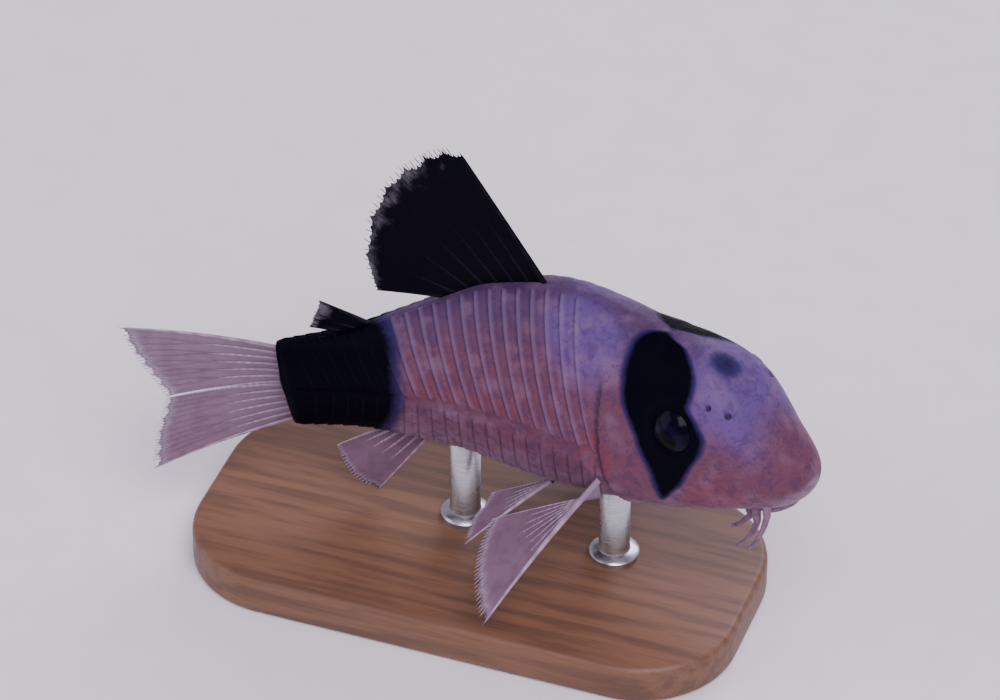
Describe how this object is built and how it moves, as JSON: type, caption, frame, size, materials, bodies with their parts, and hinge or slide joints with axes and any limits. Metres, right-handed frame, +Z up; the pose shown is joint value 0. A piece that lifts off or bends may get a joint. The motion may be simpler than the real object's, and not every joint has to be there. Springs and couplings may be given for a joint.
{
  "type": "panda corydoras catfish model",
  "caption": "Life-size panda corydoras catfish, swimming nose up in a gentle curve, fins spread, held over a flat wooden base by short steel rods.",
  "frame": {"origin": "centre of the display base's underside", "axes": "+X towards the fish's snout, +Y to its left, +Z up out of the base"},
  "size_m": [0.0505, 0.0295, 0.0348],
  "materials": {
    "skin": "moist mauve-pink skin over bony plates, with a black eye mask and a black tail block",
    "dorsal": "satin black membrane with paler ray tips",
    "fin": "satin, thin and slightly see-through, with pale rays",
    "eye": "wet gloss",
    "stand_wood": "satin varnish",
    "stand_steel": "satin"
  },
  "bodies": {
    "root": {"head": "skin", "trunk": "skin", "tail_stalk": "skin", "dorsal_fin": "dorsal", "adipose_fin": "fin", "anal_fin": "fin", "tail_fin_upper": "fin", "tail_fin_lower": "fin", "eye_left": "eye", "pectoral_fin_left": "fin", "pelvic_fin_left": "fin", "barbel_upper_left": "skin", "barbel_lower_left": "skin", "barbel_chin_left": "skin", "eye_right": "eye", "pectoral_fin_right": "fin", "pelvic_fin_right": "fin", "barbel_upper_right": "skin", "barbel_lower_right": "skin", "barbel_chin_right": "skin", "stand_base": "stand_wood", "stand_rod_front": "stand_steel", "stand_rod_rear": "stand_steel"}
  },
  "joints": []
}
